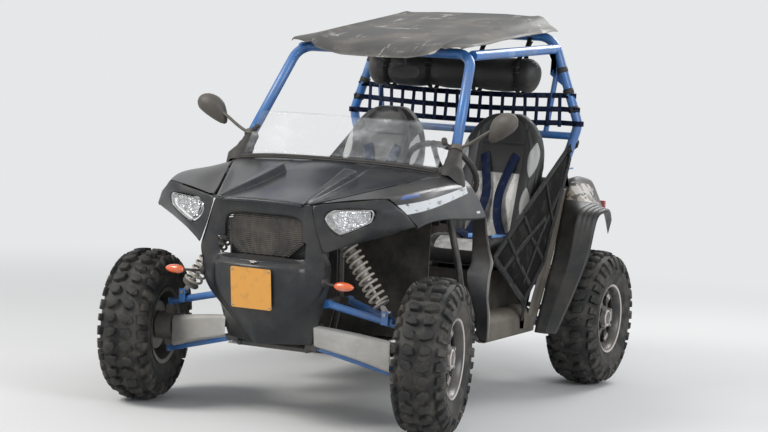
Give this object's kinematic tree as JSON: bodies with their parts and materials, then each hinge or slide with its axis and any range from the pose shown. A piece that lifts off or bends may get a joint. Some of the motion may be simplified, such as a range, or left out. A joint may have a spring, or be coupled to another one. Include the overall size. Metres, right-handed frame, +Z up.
{
  "type": "side by side utility vehicle",
  "caption": "Open two seat off-road vehicle with roll cage, sheet roof, half windshield and cargo box, on four steered or fixed free rolling wheels.",
  "frame": {"origin": "on the ground midway between the axles, in the vehicle's middle plane", "axes": "+X to the vehicle's left, +Y to its rear, +Z up"},
  "size_m": [1.7254, 2.6885, 1.858],
  "materials": {
    "black_frame": "satin black powder coat",
    "aluminium_plate": "scratched",
    "black_plastic": "textured",
    "dusty_plastic": "dusty",
    "dusty_tube": "dusty black",
    "radiator_core": "painted core",
    "gloss_black": "glossy moulded panel",
    "seat_cover": "vinyl and cloth",
    "blue_paint": "gloss powder coat, scuffed",
    "roof_sheet": "weathered",
    "clear_sheet": "clear sheet, hazed",
    "grey_plastic": "weathered",
    "lamp_glass": "clear lens",
    "orange_lens": "translucent",
    "red_lens": "translucent",
    "plate_yellow": "blank plate",
    "bag_fabric": "coated cloth",
    "webbing": "woven band",
    "net_fabric": "mesh cloth",
    "cast_case": "cast, dusty",
    "steel": "dull",
    "guard_aluminium": "brushed, scuffed",
    "spring_steel": "pale enamel coil",
    "black_rubber": "moulded",
    "tyre": "dusty",
    "rim": "black with a machined lip"
  },
  "bodies": {
    "chassis": {"frame_tubes": "black_frame", "front_bulkhead": "black_frame", "rear_bulkhead": "black_frame", "skid_plate": "aluminium_plate", "cab_floor": "black_plastic", "rocker_panels": "dusty_plastic", "sill_tubes": "dusty_tube", "rear_bumper": "black_frame", "nose_fascia": "black_plastic", "grille": "black_plastic", "radiator": "radiator_core", "hood": "gloss_black", "front_fenders": "gloss_black", "rear_fenders": "black_plastic", "cargo_box": "black_plastic", "dashboard": "black_plastic", "seats": "seat_cover", "cage_front_hoop": "blue_paint", "cage_rear_hoop": "blue_paint", "cage_side_rails": "blue_paint", "roof_panel": "roof_sheet", "windshield": "clear_sheet", "mirrors": "grey_plastic", "headlamps": "lamp_glass", "indicators": "orange_lens", "tail_lamps": "red_lens", "number_plate": "plate_yellow", "roll_bag": "bag_fabric", "rear_net": "webbing", "side_nets": "net_fabric", "engine_block": "cast_case", "muffler": "steel", "suspension_arms": "blue_paint", "arm_guards": "guard_aluminium", "coil_shocks": "spring_steel", "half_shafts": "black_frame", "rear_uprights": "cast_case"},
    "steering_wheel_body": {"steering_wheel": "black_rubber"},
    "rack": {"tie_rods": "steel"},
    "left_knuckle": {"knuckle_left": "cast_case"},
    "right_knuckle": {"knuckle_right": "cast_case"},
    "wheel_front_left": {"tyre_front_left": "tyre", "rim_front_left": "rim"},
    "wheel_front_right": {"tyre_front_right": "tyre", "rim_front_right": "rim"},
    "wheel_rear_left": {"tyre_rear_left": "tyre", "rim_rear_left": "rim"},
    "wheel_rear_right": {"tyre_rear_right": "tyre", "rim_rear_right": "rim"}
  },
  "joints": [
    {"name": "steer_left", "type": "hinge", "parent": "chassis", "child": "left_knuckle", "pos_m": [0.585, -0.978, 0.343], "axis": [0, 0, 1], "range_deg": [-40.4, 19.6]},
    {"name": "steer_right", "type": "hinge", "parent": "chassis", "child": "right_knuckle", "pos_m": [-0.585, -0.978, 0.343], "axis": [0, 0, 1], "range_deg": [-40.6, 19.8]},
    {"name": "steering_wheel_turn", "type": "hinge", "parent": "chassis", "child": "steering_wheel_body", "pos_m": [0.3, -0.07, 1.075], "axis": [0, 0.788, 0.6157], "range_deg": [-364.6, 177.4]},
    {"name": "rack_slide", "type": "slide", "parent": "chassis", "child": "rack", "axis": [1, 0, 0], "range_m": [-0.04811, 0.09809]},
    {"name": "front_left_spin", "type": "hinge", "parent": "left_knuckle", "child": "wheel_front_left", "pos_m": [0.70303, -0.95634, 0.343], "axis": [0.9836, 0.1805, 0], "continuous": true},
    {"name": "front_right_spin", "type": "hinge", "parent": "right_knuckle", "child": "wheel_front_right", "pos_m": [-0.70303, -0.99966, 0.343], "axis": [0.9836, 0.1805, 0], "continuous": true},
    {"name": "rear_left_spin", "type": "hinge", "parent": "chassis", "child": "wheel_rear_left", "pos_m": [0.71, 0.978, 0.343], "axis": [1, 0, 0], "continuous": true},
    {"name": "rear_right_spin", "type": "hinge", "parent": "chassis", "child": "wheel_rear_right", "pos_m": [-0.71, 0.978, 0.343], "axis": [1, 0, 0], "continuous": true}
  ],
  "couplings": [
    {"joint": "steer_right", "follows": "steer_left", "ratio": 1},
    {"joint": "steering_wheel_turn", "follows": "steer_left", "ratio": 9},
    {"joint": "rack_slide", "follows": "steer_left", "m_per_rad": -0.1377}
  ]
}
